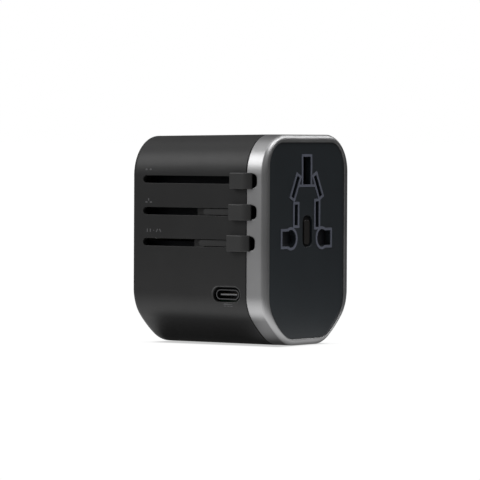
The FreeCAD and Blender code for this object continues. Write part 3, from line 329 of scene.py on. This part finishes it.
AZ, EL, ROLL = math.radians(-56.2841), math.radians(1.5025), math.radians(0.2917)
back = Vector((math.sin(AZ) * math.cos(EL), -math.cos(AZ) * math.cos(EL), math.sin(EL)))
right = Vector((math.cos(AZ), math.sin(AZ), 0.0))
up = back.cross(right)
right2 = right * math.cos(ROLL) + up * math.sin(ROLL)
up2 = up * math.cos(ROLL) - right * math.sin(ROLL)
t = Vector((21.7694, 0.5627, 1281.4005))
pos = -(right2 * t.x + up2 * t.y - back * t.z) + Vector((0.0, -26.0, 35.0))
cam_data = bpy.data.cameras.new("camera")
cam_data.lens = 292.5
cam_data.sensor_width = 36.0
cam_data.clip_start, cam_data.clip_end = 0.05, 50.0
cam = bpy.data.objects.new("camera", cam_data)
cam.matrix_world = Matrix(((right2.x, up2.x, back.x, pos.x * MM), (right2.y, up2.y, back.y, pos.y * MM),
                           (right2.z, up2.z, back.z, pos.z * MM), (0, 0, 0, 1)))
scene.collection.objects.link(cam)
scene.camera = cam

world = bpy.data.worlds.new("studio")
scene.world = world
world.use_nodes = True
wn = world.node_tree
for n in list(wn.nodes):
    wn.nodes.remove(n)


def wnode(kind, **props):
    n = wn.nodes.new(kind)
    for k, v in props.items():
        setattr(n, k, v)
    return n


def glow(direction, lo, hi, strength):
    """A soft bright patch of the room round a direction."""
    d = Vector(direction).normalized()
    dot = wnode("ShaderNodeVectorMath", operation="DOT_PRODUCT")
    dot.inputs[1].default_value = d
    wn.links.new(tc.outputs["Generated"], dot.inputs[0])
    r = wnode("ShaderNodeMapRange", interpolation_type="SMOOTHSTEP")
    r.inputs["From Min"].default_value = lo
    r.inputs["From Max"].default_value = hi
    r.inputs["To Min"].default_value = 0.0
    r.inputs["To Max"].default_value = strength
    wn.links.new(dot.outputs["Value"], r.inputs["Value"])
    return r.outputs["Result"]


def total(a, b):
    m = wnode("ShaderNodeMath", operation="ADD")
    for i, v in enumerate((a, b)):
        if isinstance(v, float):
            m.inputs[i].default_value = v
        else:
            wn.links.new(v, m.inputs[i])
    return m.outputs["Value"]


tc = wnode("ShaderNodeTexCoord")
room = total(0.07, glow((-0.83, 0.55, 0.05), 0.55, 0.95, 0.41))
room = total(room, glow((0.0, 0.0, 1.0), 0.2, 0.9, 0.25))
room = total(room, glow((-0.43, -0.87, -0.22), 0.05, 0.9, 0.20))
wout = wnode("ShaderNodeOutputWorld")
wmix = wnode("ShaderNodeMixShader")
wlp = wnode("ShaderNodeLightPath")
wa = wnode("ShaderNodeBackground")
wb = wnode("ShaderNodeBackground")
wn.links.new(room, wa.inputs["Strength"])
wa.inputs["Color"].default_value = (1, 1, 1, 1)
wb.inputs["Color"].default_value = (1, 1, 1, 1)
wb.inputs["Strength"].default_value = 1.0
wn.links.new(wlp.outputs["Is Camera Ray"], wmix.inputs["Fac"])
wn.links.new(wa.outputs["Background"], wmix.inputs[1])
wn.links.new(wb.outputs["Background"], wmix.inputs[2])
wn.links.new(wmix.outputs["Shader"], wout.inputs["Surface"])

CEN = Vector((0.0, 0.0, 0.035))


def area(name, direction, dist, wide, tall, radiance):
    """Soft box: its radiance is given, so that its look doesn't change with size."""
    d = bpy.data.lights.new(name, "AREA")
    d.shape = "RECTANGLE"
    d.size, d.size_y = wide, tall
    d.energy = radiance * math.pi * wide * tall
    o = bpy.data.objects.new(name, d)
    v = Vector(direction).normalized()
    o.location = CEN + v * dist
    o.rotation_euler = (-v).to_track_quat("-Z", "Y").to_euler()
    scene.collection.objects.link(o)
    return o


area("key_box", (-0.60, 0.57, 0.60), 0.75, 0.50, 0.38, 2.7)
area("front_box", (0.66, -0.49, 0.60), 0.80, 0.68, 0.26, 2.5)
area("corner_box", (0.12, -0.52, 0.82), 0.80, 0.44, 0.32, 3.3)
area("top_box", (-0.15, 0.1, 1.0), 0.70, 0.40, 0.40, 1.2)
area("sky_box", (0.0, 0.58, 0.80), 0.75, 0.44, 0.26, 0.45)

# ------------------------------------------------------------------------ floor
bm = bmesh.new()
bmesh.ops.create_grid(bm, x_segments=8, y_segments=8, size=30.0)
me = bpy.data.meshes.new("floor")
bm.to_mesh(me)
bm.free()
floor = bpy.data.objects.new("floor", me)
floor.location = (0, 0, -0.0002)
scene.collection.objects.link(floor)
# an evenly lit white sheet: it glows by itself, so that no light has to be
# aimed at it, and it darkens under and close round the object
fm = bpy.data.materials.new("floor_sheet")
fm.use_nodes = True
ft = fm.node_tree
for n in list(ft.nodes):
    ft.nodes.remove(n)
fo = ft.nodes.new("ShaderNodeOutputMaterial")
fe = ft.nodes.new("ShaderNodeEmission")
ftc = ft.nodes.new("ShaderNodeTexCoord")


def fmath(op, *inputs):
    n = ft.nodes.new("ShaderNodeVectorMath")
    n.operation = op
    for k, v in enumerate(inputs):
        if isinstance(v, tuple):
            n.inputs[k].default_value = v
        else:
            ft.links.new(v, n.inputs[k])
    return n


def framp(value, far, stops):
    mr = ft.nodes.new("ShaderNodeMapRange")
    mr.inputs["From Max"].default_value = far
    ft.links.new(value, mr.inputs["Value"])
    return ramp(ft, mr.outputs["Result"], [(a, (b, b, b)) for a, b in stops])


fab = fmath("ABSOLUTE", ftc.outputs["Object"])
fsub = fmath("SUBTRACT", fab.outputs["Vector"], (0.0235, 0.0245, 0.0))
fmax = fmath("MAXIMUM", fsub.outputs["Vector"], (0.0, 0.0, 0.0))
flen = fmath("LENGTH", fmax.outputs["Vector"]).outputs["Value"]
# what the object sees: shade under it, a bright sheet close round it, and a
# room that gets dim with distance, sooner on the side away from the window
near_ = framp(flen, 0.010, [(0.0, 0.05), (0.2, 0.40), (0.45, 0.82), (0.9, 1.0)])
far_l = framp(flen, 0.40, [(0.0, 1.05), (0.03, 0.90), (0.09, 0.60), (0.17, 0.33), (0.40, 0.18), (1.0, 0.1)])
far_r = framp(flen, 0.40, [(0.0, 0.70), (0.06, 0.45), (0.20, 0.13), (1.0, 0.04)])
fdot = fmath("DOT_PRODUCT", ftc.outputs["Object"], (0.83, -0.555, 0.0)).outputs["Value"]
fside = ft.nodes.new("ShaderNodeMapRange")
fside.inputs["From Min"].default_value = -0.012
fside.inputs["From Max"].default_value = 0.022
ft.links.new(fdot, fside.inputs["Value"])
fblend = ft.nodes.new("ShaderNodeMix")
fblend.data_type = "VECTOR"
ft.links.new(fside.outputs["Result"], fblend.inputs["Factor"])
vec_in = [i for i in fblend.inputs if i.type == "VECTOR"]
vec_out = [o for o in fblend.outputs if o.type == "VECTOR"][0]
for sock, src in zip(vec_in[-2:], (far_l, far_r)):
    ft.links.new(src, sock)
# light also gets in under the front edge
fsep = ft.nodes.new("ShaderNodeSeparateXYZ")
ft.links.new(ftc.outputs["Object"], fsep.inputs["Vector"])
ffront = ft.nodes.new("ShaderNodeMapRange")
ffront.interpolation_type = "SMOOTHSTEP"
ffront.inputs["From Min"].default_value = -0.010
ffront.inputs["From Max"].default_value = -0.020
ffront.inputs["To Max"].default_value = 0.28
ft.links.new(fsep.outputs["Y"], ffront.inputs["Value"])
flift = ft.nodes.new("ShaderNodeMix")
flift.data_type = "VECTOR"
fleft = ft.nodes.new("ShaderNodeMapRange")
fleft.interpolation_type = "SMOOTHSTEP"
fleft.inputs["From Min"].default_value = -0.011
fleft.inputs["From Max"].default_value = -0.018
ft.links.new(fsep.outputs["X"], fleft.inputs["Value"])
fcorner = ft.nodes.new("ShaderNodeMath")
fcorner.operation = "MULTIPLY"
ft.links.new(ffront.outputs["Result"], fcorner.inputs[0])
ft.links.new(fleft.outputs["Result"], fcorner.inputs[1])
ft.links.new(fcorner.outputs["Value"], flift.inputs["Factor"])
lift_in = [i for i in flift.inputs if i.type == "VECTOR"]
ft.links.new(near_, lift_in[-2])
lift_in[-1].default_value = (1.0, 1.0, 1.0)
lifted = [o for o in flift.outputs if o.type == "VECTOR"][0]
fmul = fmath("MULTIPLY", lifted, vec_out)
# what is seen from outside: a clean white sheet with a faint contact shade
fsub2 = fmath("SUBTRACT", fab.outputs["Vector"], (0.0135, 0.0235, 0.0))
fmax2 = fmath("MAXIMUM", fsub2.outputs["Vector"], (0.0, 0.0, 0.0))
flen2 = fmath("LENGTH", fmax2.outputs["Vector"]).outputs["Value"]
soft_ = framp(flen2, 0.009, [(0.0, 0.55), (0.35, 0.93), (1.0, 1.0)])
fe.inputs["Strength"].default_value = 1.2
fe2 = ft.nodes.new("ShaderNodeEmission")
fe2.inputs["Strength"].default_value = 1.02
ft.links.new(fmul.outputs["Vector"], fe.inputs["Color"])
ft.links.new(soft_, fe2.inputs["Color"])
flp = ft.nodes.new("ShaderNodeLightPath")
fmix = ft.nodes.new("ShaderNodeMixShader")
ft.links.new(flp.outputs["Is Camera Ray"], fmix.inputs["Fac"])
ft.links.new(fe.outputs["Emission"], fmix.inputs[1])
ft.links.new(fe2.outputs["Emission"], fmix.inputs[2])
# from underneath the sheet is clear, so that the underside can be looked at
fgeo = ft.nodes.new("ShaderNodeNewGeometry")
fclear = ft.nodes.new("ShaderNodeBsdfTransparent")
fmix2 = ft.nodes.new("ShaderNodeMixShader")
ft.links.new(fgeo.outputs["Backfacing"], fmix2.inputs["Fac"])
ft.links.new(fmix.outputs["Shader"], fmix2.inputs[1])
ft.links.new(fclear.outputs["BSDF"], fmix2.inputs[2])
ft.links.new(fmix2.outputs["Shader"], fo.inputs["Surface"])
floor.data.materials.append(fm)
